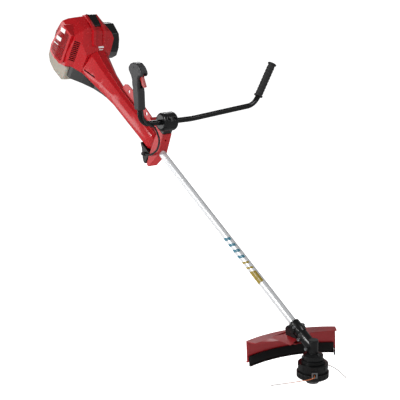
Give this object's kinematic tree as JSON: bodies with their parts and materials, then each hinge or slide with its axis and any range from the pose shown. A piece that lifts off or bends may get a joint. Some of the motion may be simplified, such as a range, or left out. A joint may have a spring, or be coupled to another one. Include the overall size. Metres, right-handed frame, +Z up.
{
  "type": "string trimmer",
  "caption": "Petrol string trimmer: rear engine under a moulded cowling, straight shaft, bicycle-type handlebar with throttle grip, geared line head under a deflector guard.",
  "frame": {"origin": "centre of the rearmost harness hole, in the middle of the plate on top of the fairing", "axes": "+X forwards over the ground towards the cutting head, +Y to the operator's left, +Z up, with the shaft sloping 33 degrees as in use"},
  "size_m": [1.4991, 0.6615, 1.1362],
  "materials": {
    "red_plastic": "gloss",
    "dark_red_plastic": "satin",
    "black_plastic": "satin",
    "grey_plastic": "satin",
    "tank_plastic": "translucent satin",
    "red_paint": "satin",
    "red_coated_aluminium": "red powder coat",
    "black_coated_aluminium": "black powder coat",
    "tube_aluminium": "satin",
    "cast_aluminium": "as cast",
    "steel": "bright",
    "dark_steel": "dark",
    "rubber": "matte",
    "nylon_line": "satin",
    "filter_foam": "foam"
  },
  "bodies": {
    "frame": {"shaft_tube": "tube_aluminium", "shaft_bearings": "dark_steel", "gearbox_case": "black_coated_aluminium", "grease_plug": "dark_steel", "gearbox_cap": "black_coated_aluminium", "guard": "dark_red_plastic", "guard_skirt": "black_plastic", "line_cutter": "steel", "handle_bracket": "red_coated_aluminium", "clamp_lower": "black_coated_aluminium", "clamp_upper": "black_coated_aluminium", "guard_clamp_upper": "black_coated_aluminium", "guard_clamp_lower": "black_coated_aluminium", "cap_screws": "steel", "handlebar": "black_coated_aluminium", "left_grip": "rubber", "grip_right_half": "grey_plastic", "grip_left_half": "grey_plastic", "grip_screws": "steel", "throttle_cable": "rubber", "harness_plate": "red_paint", "fairing": "red_plastic", "lower_cover": "black_plastic", "nose_buffer": "black_plastic", "engine_cowling": "red_plastic", "muffler_cover": "red_plastic", "plug_cover": "black_plastic", "air_filter_element": "filter_foam", "clutch_housing": "cast_aluminium", "engine_block": "cast_aluminium", "ignition_set": "black_plastic", "muffler": "dark_steel", "carburettor": "cast_aluminium", "starter_cover": "black_plastic", "fuel_tank": "tank_plastic"},
    "cutting_head": {"output_gear": "dark_steel", "output_spindle": "dark_steel", "head_housing": "black_plastic", "head_cap": "black_plastic", "line_eyelets": "steel", "cutting_line_right": "nylon_line", "cutting_line_left": "nylon_line"},
    "spool": {"line_spool": "black_plastic", "bump_spring": "steel"},
    "knob": {"bump_knob": "black_plastic"},
    "drive_line": {"drive_shaft": "dark_steel", "drive_pinion": "dark_steel", "clutch_drum": "dark_steel"},
    "crank": {"crankshaft": "dark_steel", "flywheel": "cast_aluminium", "clutch_shoes": "dark_steel"},
    "reel": {"starter_reel": "grey_plastic"},
    "pull_handle": {"starter_handle": "black_plastic"},
    "trigger": {"throttle_trigger": "red_plastic"},
    "lockout": {"lockout_lever": "black_plastic"},
    "switch": {"stop_switch": "red_plastic"},
    "choke": {"choke_lever": "grey_plastic"},
    "primer": {"primer_bulb": "grey_plastic"},
    "tank_cap": {"fuel_cap": "black_plastic"},
    "filter_lid": {"air_filter_cover": "black_plastic"}
  },
  "joints": [
    {"name": "head_spin", "type": "hinge", "parent": "frame", "child": "cutting_head", "pos_m": [0.98551, 0, -0.71512], "axis": [0, 0, 1], "continuous": true},
    {"name": "spool_turn", "type": "hinge", "parent": "cutting_head", "child": "spool", "pos_m": [0.98551, 0, -0.78712], "axis": [0, 0, 1], "continuous": true},
    {"name": "bump_press", "type": "slide", "parent": "spool", "child": "knob", "axis": [0, 0, 1], "range_m": [0, 0.006], "stiffness_N_per_m": 600, "springref_m": -0.01, "deforming": ["bump_spring"]},
    {"name": "drive_shaft_spin", "type": "hinge", "parent": "frame", "child": "drive_line", "pos_m": [0.98551, 0, -0.71512], "axis": [-0.8387, 0, 0.5446], "continuous": true},
    {"name": "crank_spin", "type": "hinge", "parent": "frame", "child": "crank", "pos_m": [-0.27249, 0, 0.10184], "axis": [-0.8387, 0, 0.5446], "continuous": true},
    {"name": "starter_pull", "type": "slide", "parent": "frame", "child": "pull_handle", "axis": [0, 1, 0], "range_m": [0, 0.7], "stiffness_N_per_m": 12, "springref_m": -0.6},
    {"name": "starter_reel_turn", "type": "hinge", "parent": "frame", "child": "reel", "pos_m": [-0.39997, 0, 0.18463], "axis": [-0.8387, 0, 0.5446], "range_deg": [0, 1680]},
    {"name": "throttle_squeeze", "type": "hinge", "parent": "frame", "child": "trigger", "pos_m": [0.26038, -0.13065, 0.09546], "axis": [0, 0.9986, 0.0523], "range_deg": [0, 18], "stiffness_Nm_per_rad": 0.25, "springref_deg": -34.38},
    {"name": "lockout_press", "type": "hinge", "parent": "frame", "child": "lockout", "pos_m": [0.22337, -0.13012, 0.08547], "axis": [0, -0.9986, -0.0523], "range_deg": [0, 8], "stiffness_Nm_per_rad": 0.15, "springref_deg": -34.38},
    {"name": "stop_switch_slide", "type": "slide", "parent": "frame", "child": "switch", "axis": [1, 0, 0], "range_m": [-0.004, 0]},
    {"name": "choke_turn", "type": "hinge", "parent": "frame", "child": "choke", "pos_m": [-0.35118, 0.08, 0.18632], "axis": [0, -1, 0], "range_deg": [0, 55]},
    {"name": "primer_press", "type": "slide", "parent": "frame", "child": "primer", "axis": [0, -1, 0], "range_m": [0, 0.004], "stiffness_N_per_m": 400, "springref_m": -0.005},
    {"name": "fuel_cap_turn", "type": "hinge", "parent": "frame", "child": "tank_cap", "pos_m": [-0.39758, 0.085, 0.07815], "axis": [0, 1, 0], "range_deg": [0, 360]},
    {"name": "filter_lid_slide", "type": "slide", "parent": "frame", "child": "filter_lid", "axis": [0, 1, 0], "range_m": [0, 0.06]}
  ],
  "couplings": [
    {"joint": "drive_shaft_spin", "follows": "head_spin", "ratio": 1.3571},
    {"joint": "starter_reel_turn", "follows": "starter_pull", "rad_per_m": 41.667}
  ]
}
